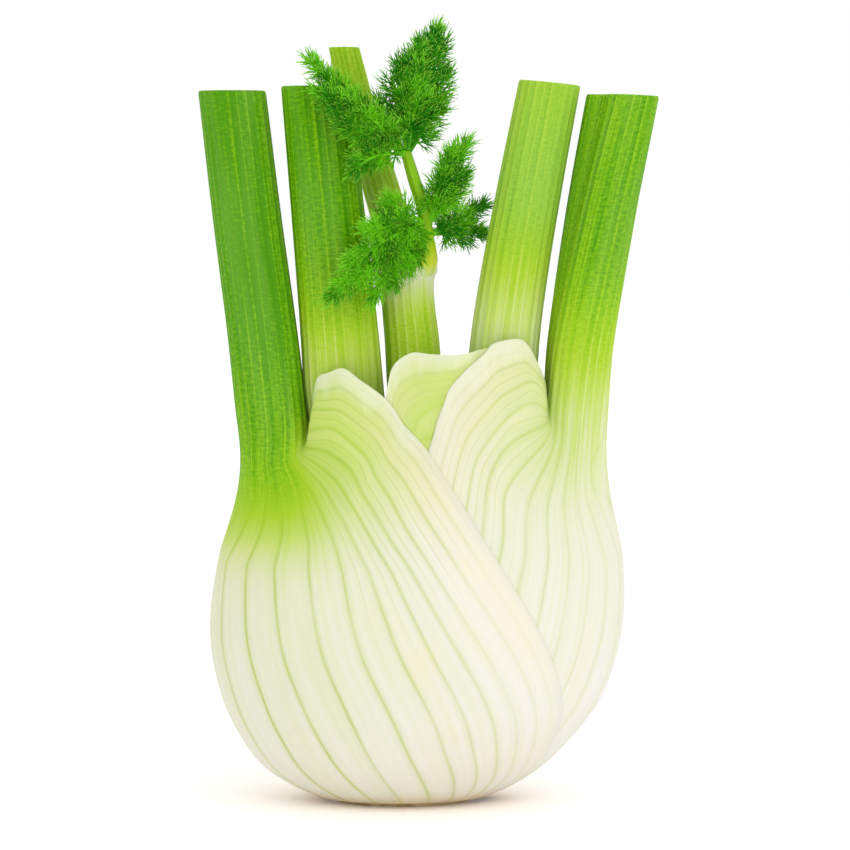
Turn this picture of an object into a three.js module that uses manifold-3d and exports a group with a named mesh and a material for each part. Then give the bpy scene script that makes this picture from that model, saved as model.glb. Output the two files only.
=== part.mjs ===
// A fennel bulb standing on its trimmed root plate: five leaves, each a fleshy base that wraps the
// bulb and runs up into a ribbed stalk, and one young feathery leaf.
// Millimetres, +Z up, the broad front faces -Y. The origin is the centre of the flat cut base.
import * as THREE from "three";
import { mergeVertices } from "three/addons/utils/BufferGeometryUtils.js";
import Module from "manifold-3d";

const { clamp, degToRad, lerp, smoothstep } = THREE.MathUtils;
const wasm = await Module();
wasm.setup();

// Driving dimensions of the bulb.
const BULB_WIDTH = 99; // left to right at the widest
const BULB_DEPTH = 73; // front to back at the widest
const SHOULDER_HEIGHT = 106; // top of the leaf bases
const LEAF_GAP = 1; // space between one leaf base and the next
const FLESH = 6; // thickest part of a leaf base, away from its stalk
const MARGIN = 0.9; // thickness of a leaf base at its free edge
const RIB_DEPTH = 0.45; // grooves between the ribs
const STALK_TOP = 170; // where the outer stalks are cut

// A smooth curve through [place, value] pairs, straight on past its two ends.
function track(pairs) {
  const last = pairs.length - 1;
  const slopeAt = (i) => {
    const before = pairs[Math.max(i - 1, 0)];
    const after = pairs[Math.min(i + 1, last)];
    return (after[1] - before[1]) / (after[0] - before[0]);
  };
  return (place) => {
    if (place <= pairs[0][0]) return pairs[0][1] + slopeAt(0) * (place - pairs[0][0]);
    if (place >= pairs[last][0]) return pairs[last][1] + slopeAt(last) * (place - pairs[last][0]);
    let i = 0;
    while (place > pairs[i + 1][0]) i += 1;
    const span = pairs[i + 1][0] - pairs[i][0];
    const t = (place - pairs[i][0]) / span;
    const rise = pairs[i + 1][1] - pairs[i][1];
    const bendA = slopeAt(i) * span - rise;
    const bendB = rise - slopeAt(i + 1) * span;
    return pairs[i][1] + t * rise + t * (1 - t) * (bendA * (1 - t) + bendB * t);
  };
}

// The bulb's outer form by height: an ellipse that grows from the base, swells and narrows to the
// shoulder.
const halfWidth = track(
  [[0, 0.36], [0.033, 0.53], [0.075, 0.67], [0.13, 0.78], [0.23, 0.915], [0.38, 0.998],
    [0.55, 0.985], [0.72, 0.915], [0.81, 0.88], [1, 0.83]]
    .map(([h, w]) => [h * SHOULDER_HEIGHT, (w * BULB_WIDTH) / 2]),
);
const halfDepth = track(
  [[0, 0.4], [0.033, 0.55], [0.075, 0.68], [0.13, 0.8], [0.23, 0.93], [0.38, 1],
    [0.55, 0.92], [0.72, 0.74], [0.81, 0.61], [1, 0.37]]
    .map(([h, d]) => [h * SHOULDER_HEIGHT, (d * BULB_DEPTH) / 2]),
);
const centreLine = track(
  [[0, 0], [0.075, 0.002], [0.23, 0.024], [0.38, 0.034], [0.55, 0.044], [0.81, 0.054], [1, 0.054]]
    .map(([h, x]) => [h * SHOULDER_HEIGHT, x * BULB_WIDTH]),
);
const fleshByHeight = track(
  [[0, 0.3], [0.1, 0.65], [0.25, 1], [0.45, 1], [0.62, 0.75], [0.8, 0.4], [1, 0.2]]
    .map(([h, t]) => [h * SHOULDER_HEIGHT, t * FLESH]),
);

// A point of the bulb's form, set in from its surface by one amount along x and another along y.
// turn is the angle from +X, seen from above.
function bulbPoint(turn, z, inset) {
  const x = centreLine(z) + (halfWidth(z) - inset.x) * Math.cos(turn);
  const y = (halfDepth(z) - inset.y) * Math.sin(turn);
  return new THREE.Vector3(x, y, z);
}

// The leaves from the outermost in. side is -1 for a stalk on the left and 1 on the right; spread is how
// far round the base reaches each way, in degrees, by the height of its free edge; bed is how thick the
// base is where it turns into the stalk, and tuck is the extra space over it. line is the middle of the
// stalk as [height, x, y], followed by its half sizes at the foot and at the cut, the slant of the cut, the
// twist and the depth of the groove on its inner side.
const LEAVES = [
  {
    name: "leaf_left_outer", side: -1, ribs: 24, foot: 1.2, junction: 84, ear: 29.5, bed: 18, tuck: 0,
    spread: track([[0, 166], [8, 158], [20, 145], [36, 131], [58, 113], [84, 92], [97, 77], [104, 63]]),
    line: [[84, -30.2, -0.5], [111, -33, -1], [140, -36.7, -1], [STALK_TOP, -40.2, -1]],
    foothold: [8.6, 8.8], cut: [8.2, 7.8], slant: 0, twist: 0, groove: 0.12,
  },
  {
    name: "leaf_right_outer", side: 1, ribs: 24, foot: 2.4, junction: 84, ear: 36, bed: 16.2, tuck: 0,
    spread: track([[0, 146], [20, 136], [36, 126], [58, 111], [84, 89], [99, 81], [110, 65]]),
    line: [[84, 41, -0.5], [97, 41.5, -1], [111, 42.6, -1.5], [140, 47.2, -2], [STALK_TOP - 1, 52.6, -2]],
    foothold: [7.8, 8.6], cut: [7.9, 7.6], slant: -0.03, twist: 38, groove: 0.3,
  },
  {
    name: "leaf_left_inner", side: -1, ribs: 16, foot: 7, junction: 90, ear: 10, bed: 15.7, tuck: 0.7,
    spread: track([[0, 140], [36, 118], [60, 102], [84, 84], [100, 70]]),
    line: [[90, -12.6, 0], [111, -14.6, -1], [140, -17.2, -3], [STALK_TOP + 1, -20.2, -4.5]],
    foothold: [8.2, 7.4], cut: [8.3, 6.8], slant: 0, twist: 0, groove: 0.1,
  },
  {
    name: "leaf_right_inner", side: 1, ribs: 16, foot: 9, junction: 90, ear: 26, bed: 16.3, tuck: 1.9,
    spread: track([[0, 145], [36, 128], [60, 116], [84, 108], [97, 103], [108, 88]]),
    line: [[90, 23, 1], [111, 24.5, 1], [128, 26.9, 1], [150, 30.8, 0.5], [STALK_TOP + 2, 35, 0]],
    foothold: [8.6, 7.4], cut: [7.4, 6.6], slant: -0.1, twist: 0, groove: 0.1,
  },
];

// How far a leaf is round from its own stalk at a turn of the bulb, positive towards the front.
function angleFromStalk(leaf, turn) {
  const angle = leaf.side > 0 ? -turn : turn - Math.PI;
  return Math.atan2(Math.sin(angle), Math.cos(angle));
}

// How the shape of a leaf changes along and across it.
const BASE = {
  swell: [-52, -8], // heights from the junction between which a base thickens to the width of its stalk
  rise: 1.25, // how far the rows of a base crowd towards its foot, as a power
  ear: 3, // how suddenly the ears rise towards the free edge, as a power
  edge: 4, // how suddenly a base thins towards the free edge, as a power
  leastSpread: 20, // degrees
};
const STALK = {
  backReach: degToRad(125), // how far the back of the leaf goes round its stalk, each way
  squareness: 2.5, // 2 is an ellipse
  channelWidth: 0.42, // radians each way
  channelGrowth: 0.3, // how soon the channel reaches its full depth above the junction, as a power
};
const FLOW = { middle: [0.84, 1.16], edge: [0.925, 1.06] }; // where along a leaf its base becomes stalk

// Thickness of a leaf base at a height, along x and along y. Along x it swells to the width of the stalk.
function fleshAt(leaf, z) {
  const flesh = fleshByHeight(z);
  const swell = smoothstep(z, leaf.junction + BASE.swell[0], leaf.junction + BASE.swell[1]);
  return new THREE.Vector2(lerp(flesh, leaf.bed, swell), flesh);
}

// How deep a leaf lies below the bulb's form: the leaves outside it, where they reach.
function depthUnder(rank, turn, z) {
  const fade = degToRad(13); // each way from the covering leaf's edge
  return LEAVES.slice(0, rank).reduce((depth, leaf) => {
    const edge = degToRad(leaf.spread(z));
    const cover = 1 - smoothstep(Math.abs(angleFromStalk(leaf, turn)), edge - fade, edge + fade);
    return depth.addScaledVector(fleshAt(leaf, z).addScalar(LEAF_GAP), cover);
  }, new THREE.Vector2());
}

// 0 on a rib and 1 in the groove beside it; across runs from -1 to 1 over the leaf's back.
function groovedBetweenRibs(leaf, across) {
  return 0.5 - 0.5 * Math.cos(Math.PI * leaf.ribs * (across + 1));
}

// A point of a leaf base. along is 0 at its foot and 1 where the stalk begins; across is -1 and 1 at its
// free edges, which rise into an ear beside the stalk; depth is 0 on its back and 1 on its inner face.
function basePoint(rank, across, along, depth) {
  const leaf = LEAVES[rank];
  const rise = along ** BASE.rise;
  const edgeHeight = leaf.foot + rise * (leaf.junction + leaf.ear - leaf.foot);
  const z = leaf.foot + rise * (leaf.junction - leaf.foot + leaf.ear * Math.abs(across) ** BASE.ear);
  const angle = across * degToRad(Math.max(leaf.spread(edgeHeight), BASE.leastSpread));
  const turn = leaf.side > 0 ? -angle : Math.PI + angle;
  const thinning = across ** BASE.edge;
  const groove = RIB_DEPTH * (1 - thinning) * groovedBetweenRibs(leaf, across);
  const edge = new THREE.Vector2(MARGIN, MARGIN);
  const body = depth ? fleshAt(leaf, z).lerp(edge, thinning) : new THREE.Vector2(groove, groove);
  return bulbPoint(turn, z, depthUnder(rank, turn, z).addScalar(leaf.tuck).add(body));
}

// A point of a leaf's stalk. The same across runs round its back, and round its inner, grooved face when
// depth is 1. along is 1 at the foot of the stalk and 2 at the cut.
function stalkPoint(rank, across, along, depth) {
  const leaf = LEAVES[rank];
  const top = leaf.line[leaf.line.length - 1][0];
  const z = lerp(leaf.junction, top, along - 1);
  const x = track(leaf.line.map(([h, px]) => [h, px]))(z);
  const y = track(leaf.line.map(([h, , py]) => [h, py]))(z);
  const grown = clamp(along - 1, 0, 1);
  const round = depth ? Math.PI - across * (Math.PI - STALK.backReach) : across * STALK.backReach;
  const power = STALK.squareness;
  const section = (Math.abs(Math.cos(round)) ** power + Math.abs(Math.sin(round)) ** power) ** (-1 / power);
  const offChannel = (Math.PI - Math.abs(round)) / STALK.channelWidth;
  const channel = leaf.groove * Math.exp(-(offChannel ** 2)) * grown ** STALK.channelGrowth;
  const rib = depth ? 0 : (RIB_DEPTH / leaf.cut[0]) * groovedBetweenRibs(leaf, across);
  const reach = section * (1 - channel - rib);
  const twisted = round - degToRad(leaf.twist) * grown;
  const turn = leaf.side > 0 ? -twisted : Math.PI + twisted;
  const dx = lerp(leaf.foothold[0], leaf.cut[0], grown) * reach * Math.cos(turn);
  const dy = lerp(leaf.foothold[1], leaf.cut[1], grown) * reach * Math.sin(turn);
  return new THREE.Vector3(x + dx, y + dy, z + leaf.slant * dx * grown);
}

// The leaf's own surface: the base flows into the stalk round their junction, sharply at the ears.
function leafPoint(rank, across, along, depth) {
  const sharp = across ** 2;
  const [from, to] = [0, 1].map((end) => lerp(FLOW.middle[end], FLOW.edge[end], sharp));
  const flow = smoothstep(along, from, to);
  return basePoint(rank, across, along, depth).lerp(stalkPoint(rank, across, along, depth), flow);
}

// A closed solid through rings of points, each ring going round the same way, with flat ends.
function loft(rings) {
  const count = rings[0].length;
  const index = [];
  for (let r = 0; r + 1 < rings.length; r += 1) {
    for (let i = 0; i < count; i += 1) {
      const a = r * count + i;
      const b = r * count + ((i + 1) % count);
      index.push(a, b, b + count, a, b + count, a + count);
    }
  }
  const end = (ring, first, flipped) => {
    const outline = ring.map((p) => new THREE.Vector2(p.x, p.y));
    THREE.ShapeUtils.triangulateShape(outline, []).forEach(([a, b, c]) => {
      index.push(first + a, first + (flipped ? c : b), first + (flipped ? b : c));
    });
  };
  end(rings[0], 0, true);
  end(rings[rings.length - 1], (rings.length - 1) * count, false);
  const geometry = new THREE.BufferGeometry().setFromPoints(rings.flat());
  return geometry.setIndex(index);
}

// Evenly spaced values from one number to another, both included.
function steps(from, to, count) {
  return Array.from({ length: count + 1 }, (_, i) => lerp(from, to, i / count));
}

// A leaf as a loft: each ring runs along its back from edge to edge and returns along its inner face. The
// rings are closest where the ears end.
const LEAF_RINGS = [
  0, 0.07, 0.16, 0.28, 0.44, 0.62, 0.78, 0.87, 0.91, 0.94, 0.965, 0.99, 1.02, 1.07, 1.16, 1.5, 2,
];
const INNER_STRIPS = 28; // round the inner face

function leafGeometry(rank) {
  const { ribs, side } = LEAVES[rank];
  const backs = steps(-1, 1, 2 * ribs);
  const inners = steps(1, -1, INNER_STRIPS).slice(1, -1);
  const rings = LEAF_RINGS.map((along) => {
    const back = backs.map((across) => leafPoint(rank, across, along, 0));
    const inner = inners.map((across) => leafPoint(rank, across, along, 1));
    const ring = [...back, ...inner];
    return side > 0 ? ring.reverse() : ring;
  });
  return loft(rings);
}

// The middle leaf above the bulb: the stalk, a swollen node with a ledge on its right, and the thinner
// stalk that leans away behind its neighbour. Each row is height, x, y, half width, half depth.
const CENTRE_STALK = [
  [90, 3.6, 1.5, 6.5, 6.3], [98, 3.1, 2, 6.5, 6.2], [110, 2.4, 2.3, 6.4, 6], [120, 1.4, 2.5, 6.2, 6],
  [125, 1.2, 2.7, 6.3, 6], [129, 1.4, 3, 7.2, 6.4], [129.6, -0.6, 4, 5, 5], [135, -1.6, 5.4, 4.6, 4.6],
  [148, -5.2, 8.6, 4.6, 4.4], [162, -9.4, 11, 4.5, 4.3], [181, -13.2, 11.6, 4.4, 4.2],
];
const CENTRE_RIBS = 16;
const CENTRE_RIB_DEPTH = 0.8 * RIB_DEPTH;
const HEART = {
  room: 3.6, // extra space left round it
  heights: [15, 80],
  narrowing: [0.6, 0.9], // where it narrows to the stalk, as shares of the height of the stalk's foot
  rings: 6,
};

// The base of the middle leaf fills the heart of the bulb, inside all the others, up to its stalk.
function centrePoint(turn, z, inset) {
  const heart = bulbPoint(turn, z, depthUnder(LEAVES.length, turn, z).addScalar(HEART.room + inset));
  const [height, x, y, across, back] = CENTRE_STALK[0];
  const dx = (across - inset) * Math.cos(turn);
  const dy = (back - inset) * Math.sin(turn);
  const [from, to] = HEART.narrowing.map((share) => share * height);
  return heart.lerp(new THREE.Vector3(x + dx, y + dy, z), smoothstep(z, from, to));
}

function centreGeometry() {
  const turns = steps(0, 2 * CENTRE_RIBS - 1, 2 * CENTRE_RIBS - 1);
  const turnOf = (i) => (i * Math.PI) / CENTRE_RIBS;
  const grooveOf = (i) => (i % 2) * CENTRE_RIB_DEPTH;
  const heights = steps(...HEART.heights, HEART.rings);
  const base = heights.map((z) => turns.map((i) => centrePoint(turnOf(i), z, grooveOf(i))));
  const stalk = CENTRE_STALK.map(([z, x, y, across, back]) => turns.map((i) => {
    const dx = (across - grooveOf(i)) * Math.cos(turnOf(i));
    const dy = (back - grooveOf(i)) * Math.sin(turnOf(i));
    return new THREE.Vector3(x + dx, y + dy, z);
  }));
  return loft([...base, ...stalk]);
}

// The compressed stem under the leaves: flat where it was trimmed, tapering up between the leaf bases. Each
// row of the profile is its height and its share of the bulb's width.
const ROOT = {
  profile: [[0, 0.34], [1.2, 0.35], [2.4, 0.29], [5, 0.24], [9, 0.14], [13, 0.07]],
  sides: 28,
  roundness: 1.1, // how much rounder than the bulb
};

function rootPlateGeometry() {
  const rings = ROOT.profile.map(([z, share]) => steps(0, ROOT.sides - 1, ROOT.sides - 1).map((i) => {
    const turn = (i * 2 * Math.PI) / ROOT.sides;
    const x = centreLine(z) + share * (BULB_WIDTH / 2) * Math.cos(turn);
    return new THREE.Vector3(x, share * (BULB_DEPTH / 2) * ROOT.roundness * Math.sin(turn), z);
  }));
  return loft(rings);
}

// A tapering tube along points, a few-sided ring at each, closed at both ends.
function taperedTube(points, radiusFrom, radiusTo, sides) {
  const rings = points.map((point, i) => {
    const ahead = points[Math.min(i + 1, points.length - 1)];
    const behind = points[Math.max(i - 1, 0)];
    const toward = ahead.clone().sub(behind).normalize();
    const aside = Math.abs(toward.y) < 0.9 ? new THREE.Vector3(0, 1, 0) : new THREE.Vector3(1, 0, 0);
    const u = aside.clone().cross(toward).normalize();
    const w = toward.clone().cross(u);
    const radius = lerp(radiusFrom, radiusTo, i / (points.length - 1));
    return steps(0, sides - 1, sides - 1).map((k) => {
      const turn = (k * 2 * Math.PI) / sides;
      const across = point.clone().addScaledVector(u, radius * Math.cos(turn));
      return across.addScaledVector(w, radius * Math.sin(turn));
    });
  });
  const index = [];
  const last = (rings.length - 1) * sides;
  for (let r = 0; r < last; r += sides) {
    for (let i = 0; i < sides; i += 1) {
      const next = (i + 1) % sides;
      index.push(r + i, r + next, r + sides + next, r + i, r + sides + next, r + sides + i);
    }
  }
  for (let i = 1; i + 1 < sides; i += 1) {
    index.push(0, i + 1, i, last, last + i, last + i + 1);
  }
  return new THREE.BufferGeometry().setFromPoints(rings.flat()).setIndex(index);
}

// The thin stem of the young leaf, from the node of the middle leaf to its fork.
const YOUNG_STEM = {
  line: new THREE.CatmullRomCurve3(
    [[6.6, 0.2, 130.2], [6.2, -1, 135], [5, -2.4, 142], [3.2, -3.2, 148.5], [1, -3.6, 154]]
      .map((p) => new THREE.Vector3(...p)),
  ),
  root: 1.7, tip: 1.25, rings: 8, sides: 8,
};

// The sprays of the young leaf: where each leaves the stem, how it bends and where it ends, how many twigs
// it has, how long they are, and how far they lean to the front.
const FRONDS = [
  {
    name: "frond_crown", twigs: 9, twig: 10, lean: 0,
    line: [[1.3, -3.8, 155.2], [3.5, -5, 169], [4.8, -3.5, 181]],
  },
  {
    name: "frond_left_high", twigs: 7, twig: 8, lean: 0.3,
    line: [[-0.8, -5.4, 155], [-8, -18, 162], [-17, -19, 173]],
  },
  {
    name: "frond_left_low", twigs: 7, twig: 8, lean: 0.3,
    line: [[4.1, -4.6, 138], [-2, -16.5, 135], [-10.5, -17, 127]],
  },
  {
    name: "frond_right_high", twigs: 5, twig: 5.5, lean: 0.2,
    line: [[7.6, -3.4, 142], [8.6, -6, 147.5], [11.5, -7, 152.5]],
  },
  {
    name: "frond_right_low", twigs: 5, twig: 5.5, lean: -0.3,
    line: [[9, -0.4, 136.2], [12.4, 6, 137.5], [16.6, 12.5, 140.5]],
  },
];
const AXIS = { root: 1.1, tip: 0.8, rings: 4, sides: 5 };
const TWIG = {
  root: 0.72, tip: 0.6, sides: 4,
  bare: 0.1, // share of the axis below the first twig
  spread: degToRad(62), // of the lowest twigs from the axis
  sway: 0.45, // fore and aft
  shortest: 0.6, // share of the longest twig's length
};
const NEEDLE = {
  length: 5.5, root: 0.44, tip: 0.4, sides: 3, perTwig: 5, lean: degToRad(44),
  shortening: 0.4, // of the last needle of a twig
  setBack: 0.3, // of each needle's root, as a share of the space between needles
};
const GOLDEN_ANGLE = Math.PI * (3 - Math.sqrt(5));

function frondAxis(frond) {
  return new THREE.QuadraticBezierCurve3(...frond.line.map((p) => new THREE.Vector3(...p)));
}

// The twigs of a spray: they stand off its axis to either side and a little fore and aft, and are longest
// below the middle.
function frondTwigs(frond) {
  const axis = frondAxis(frond);
  return steps(1, frond.twigs, frond.twigs - 1).map((i) => {
    const place = lerp(TWIG.bare, 1, i / frond.twigs);
    const along = axis.getTangent(place);
    const aside = new THREE.Vector3(along.z, 0, -along.x).normalize();
    const front = aside.clone().cross(along);
    const spread = TWIG.spread * (1 - place ** 2);
    const sway = TWIG.sway * Math.sin(i * GOLDEN_ANGLE) + frond.lean;
    const toward = along.clone().multiplyScalar(Math.cos(spread))
      .addScaledVector(aside, (i % 2 ? 1 : -1) * Math.sin(spread))
      .addScaledVector(front, sway * Math.sin(spread))
      .normalize();
    const from = axis.getPoint(place);
    const length = frond.twig * lerp(TWIG.shortest, 1, Math.sin(Math.PI * place ** 0.7));
    return { from, toward, end: from.clone().addScaledVector(toward, length) };
  });
}

// A spray as one body: its axis, its twigs, and needles standing off each twig all round.
function frondGeometry(frond) {
  const pieces = [taperedTube(frondAxis(frond).getPoints(AXIS.rings), AXIS.root, AXIS.tip, AXIS.sides)];
  frondTwigs(frond).forEach(({ from, toward, end }, t) => {
    pieces.push(taperedTube([from, end], TWIG.root, TWIG.tip, TWIG.sides));
    const aside = new THREE.Vector3(0, 1, 0).cross(toward).normalize();
    const front = toward.clone().cross(aside);
    steps(1, NEEDLE.perTwig, NEEDLE.perTwig - 1).forEach((k) => {
      const turn = (k + t) * GOLDEN_ANGLE;
      const direction = toward.clone().multiplyScalar(Math.cos(NEEDLE.lean))
        .addScaledVector(aside, Math.sin(NEEDLE.lean) * Math.cos(turn))
        .addScaledVector(front, Math.sin(NEEDLE.lean) * Math.sin(turn));
      const root = from.clone().lerp(end, (k - NEEDLE.setBack) / NEEDLE.perTwig);
      const length = NEEDLE.length * (1 - (NEEDLE.shortening * k) / NEEDLE.perTwig);
      const tip = root.clone().addScaledVector(direction, length);
      pieces.push(taperedTube([root, tip], NEEDLE.root, NEEDLE.tip, NEEDLE.sides));
    });
  });
  return joined(pieces);
}

// Closed geometries fused into one body.
const WELD = 1e-5;

function joined(geometries) {
  const solids = geometries.map((geometry) => {
    const welded = mergeVertices(geometry, WELD);
    const vertProperties = welded.attributes.position.array;
    const triVerts = new Uint32Array(welded.index.array);
    return new wasm.Manifold(new wasm.Mesh({ numProp: 3, vertProperties, triVerts }));
  });
  const mesh = wasm.Manifold.union(solids).getMesh();
  const geometry = new THREE.BufferGeometry();
  geometry.setAttribute("position", new THREE.BufferAttribute(mesh.vertProperties, 3));
  return geometry.setIndex(new THREE.BufferAttribute(mesh.triVerts, 1));
}

// Colours of the plant, from the cut base to the feathery tips.
const skin = (color, roughness) => new THREE.MeshStandardMaterial({ color, roughness, metalness: 0 });
const MATERIALS = {
  root: skin("#d9c9a0", 0.8),
  outerLeaf: skin("#e3ebc4", 0.4),
  innerLeaf: skin("#a9cf5a", 0.4),
  stem: skin("#8cbb2f", 0.45),
  feather: skin("#3f9a1c", 0.6),
};

const fennel = new THREE.Group();
function addPiece(name, geometry, material) {
  const mesh = new THREE.Mesh(geometry, material);
  mesh.name = name;
  fennel.add(mesh);
}

addPiece("root_plate", rootPlateGeometry(), MATERIALS.root);
LEAVES.forEach((leaf, rank) => {
  addPiece(leaf.name, leafGeometry(rank), rank < 2 ? MATERIALS.outerLeaf : MATERIALS.innerLeaf);
});
addPiece("leaf_centre", centreGeometry(), MATERIALS.innerLeaf);
const stemPoints = YOUNG_STEM.line.getPoints(YOUNG_STEM.rings);
const stem = taperedTube(stemPoints, YOUNG_STEM.root, YOUNG_STEM.tip, YOUNG_STEM.sides);
addPiece("young_leaf_stem", stem, MATERIALS.stem);
FRONDS.forEach((frond) => addPiece(frond.name, frondGeometry(frond), MATERIALS.feather));

export default fennel;
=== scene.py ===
import math

import bmesh
import bpy
import numpy as np
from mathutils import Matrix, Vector


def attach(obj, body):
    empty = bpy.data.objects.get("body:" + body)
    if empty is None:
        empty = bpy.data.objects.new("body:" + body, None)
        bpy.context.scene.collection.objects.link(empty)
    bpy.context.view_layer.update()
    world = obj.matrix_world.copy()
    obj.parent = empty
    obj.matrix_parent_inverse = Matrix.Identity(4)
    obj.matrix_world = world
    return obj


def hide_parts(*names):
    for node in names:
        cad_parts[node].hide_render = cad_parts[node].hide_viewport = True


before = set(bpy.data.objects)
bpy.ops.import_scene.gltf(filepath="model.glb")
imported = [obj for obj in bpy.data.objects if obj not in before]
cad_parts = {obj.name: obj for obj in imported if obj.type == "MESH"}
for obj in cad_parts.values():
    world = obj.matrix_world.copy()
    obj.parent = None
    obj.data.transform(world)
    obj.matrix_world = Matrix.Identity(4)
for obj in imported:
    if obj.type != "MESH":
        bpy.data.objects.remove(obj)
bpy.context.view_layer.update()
mm = 0.001
goldenAngle = math.pi * (3 - math.sqrt(5))
sharpAngle = math.radians(50)  # a fold of more than this is shaded as an edge
print("frame loaded:", len(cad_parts), "nodes")


# small maths, all in millimetres and arrays

def lerp(a, b, t):
    return a + (b - a) * t


def smooth(x, low, high):
    t = np.clip((np.asarray(x, float) - low) / (high - low), 0, 1)
    return t * t * (3 - 2 * t)


def track(pairs):  # a smooth curve through [place, value] pairs, straight on past its ends
    places, values = np.array(pairs, float).T
    back = np.maximum(np.arange(len(places)) - 1, 0)
    ahead = np.minimum(np.arange(len(places)) + 1, len(places) - 1)
    slopes = (values[ahead] - values[back]) / (places[ahead] - places[back])

    def at(x):
        x = np.asarray(x, float)
        i = np.clip(np.searchsorted(places, x, side="right") - 1, 0, len(places) - 2)
        span = places[i + 1] - places[i]
        rise = values[i + 1] - values[i]
        t = (x - places[i]) / span
        bendA = slopes[i] * span - rise
        bendB = rise - slopes[i + 1] * span
        inside = values[i] + t * rise + t * (1 - t) * (bendA * (1 - t) + bendB * t)
        below = values[0] + slopes[0] * (x - places[0])
        above = values[-1] + slopes[-1] * (x - places[-1])
        return np.where(x < places[0], below, np.where(x > places[-1], above, inside))

    return at


def ripple(*waves):  # a few sines added up, for unevenness that is the same each run
    return sum(np.sin(wave + 1.7 * k) / (k + 1) for k, wave in enumerate(waves)) / len(waves)


# shader nodes

paintShare = 0.86  # the lights together are a little stronger than one, so paints are that much darker


def tint(red, green, blue):  # a colour as it should look in the picture, 0 to 255
    share = [c / 255 for c in (red, green, blue)]
    linear = [c / 12.92 if c < 0.04045 else ((c + 0.055) / 1.055) ** 2.4 for c in share]
    return (*[c * paintShare for c in linear], 1)


class Wire:  # a socket that takes sums: a - b * c adds the Math nodes
    def __init__(self, paint, socket):
        self.paint = paint
        self.socket = socket

    def math(self, operation, *values):
        return self.paint.node("ShaderNodeMath", {"operation": operation}, dict(enumerate(values)))

    def __add__(self, other):
        return self.math("ADD", self, other)

    def __sub__(self, other):
        return self.math("SUBTRACT", self, other)

    def __rsub__(self, other):
        return self.math("SUBTRACT", other, self)

    def __mul__(self, other):
        return self.math("MULTIPLY", self, other)

    def __mod__(self, other):
        return self.math("FLOORED_MODULO", self, other)

    def __abs__(self):
        return self.math("ABSOLUTE", self)

    __radd__ = __add__

    def ease(self, low, high):  # 0 at low, 1 at high
        sockets = {"Value": self, "From Min": low, "From Max": high}
        return self.paint.node("ShaderNodeMapRange", {"interpolation_type": "SMOOTHSTEP"}, sockets)


class Paint:  # one material and the nodes in it
    def __init__(self, name):
        self.material = bpy.data.materials.new(name)
        self.material.use_nodes = True
        self.tree = self.material.node_tree
        self.shader = self.tree.nodes["Principled BSDF"]

    def put(self, socket, value):
        if isinstance(value, Wire):
            self.tree.links.new(value.socket, socket)
        else:
            socket.default_value = value

    def node(self, kind, settings, sockets, out=0):
        made = self.tree.nodes.new(kind)
        for key, value in settings.items():
            if key == "stops":
                self.setStops(made.color_ramp.elements, value)
            else:
                setattr(made, key, value)
        for key, value in sockets.items():
            self.put(made.inputs[key], value)
        return Wire(self, made.outputs[out])

    def setStops(self, elements, stops):
        while len(elements) < len(stops):
            elements.new(1)
        for element, (place, colour) in zip(elements, stops):
            element.position = place
            element.color = colour

    def measure(self, name):  # a number stored on the mesh
        return self.node("ShaderNodeAttribute", {"attribute_name": name}, {}, "Fac")

    def vector(self, x, y, z):
        return self.node("ShaderNodeCombineXYZ", {}, {0: x, 1: y, 2: z})

    def noise(self, where, scale, detail=3):
        sockets = {"Vector": where, "Scale": scale, "Detail": detail}
        return self.node("ShaderNodeTexNoise", {}, sockets, "Fac")

    def place(self):  # where on the object, in metres
        return self.node("ShaderNodeTexCoord", {}, {}, "Object")

    def ramp(self, factor, stops):
        return self.node("ShaderNodeValToRGB", {"stops": stops}, {0: factor})

    def mix(self, factor, first, second):
        return self.node("ShaderNodeMix", {"data_type": "RGBA"}, {0: factor, 6: first, 7: second}, 2)

    def bump(self, height, strength, distance):
        sockets = {"Height": height, "Strength": strength, "Distance": distance}
        return self.node("ShaderNodeBump", {}, sockets)

    def finish(self, sockets):
        for key, value in sockets.items():
            self.put(self.shader.inputs[key], value)
        return self


# mesh pieces

def addPiece(name, points, faces, paint, stored):
    mesh = bpy.data.meshes.new(name)
    mesh.from_pydata((np.asarray(points) * mm).tolist(), [], faces)
    for key, values in stored.items():
        layer = mesh.attributes.new(key, "FLOAT", "POINT")
        layer.data.foreach_set("value", np.asarray(values, np.float32).ravel())
    work = bmesh.new()
    work.from_mesh(mesh)
    bmesh.ops.remove_doubles(work, verts=work.verts, dist=1e-7)
    bmesh.ops.recalc_face_normals(work, faces=work.faces)
    work.to_mesh(mesh)
    work.free()
    mesh.shade_smooth()
    mesh.set_sharp_from_angle(angle=sharpAngle)
    mesh.materials.append(paint.material)
    piece = bpy.data.objects.new(name, mesh)
    bpy.context.scene.collection.objects.link(piece)
    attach(piece, "root")
    return piece


def gridFaces(rows, columns, first=0):  # quads of a grid that closes on itself sideways
    a = np.arange(rows - 1)[:, None] * columns + np.arange(columns)[None, :] + first
    b = np.arange(rows - 1)[:, None] * columns + (np.arange(columns)[None, :] + 1) % columns + first
    return np.stack([a, b, b + columns, a + columns], -1).reshape(-1, 4).tolist()


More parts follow.
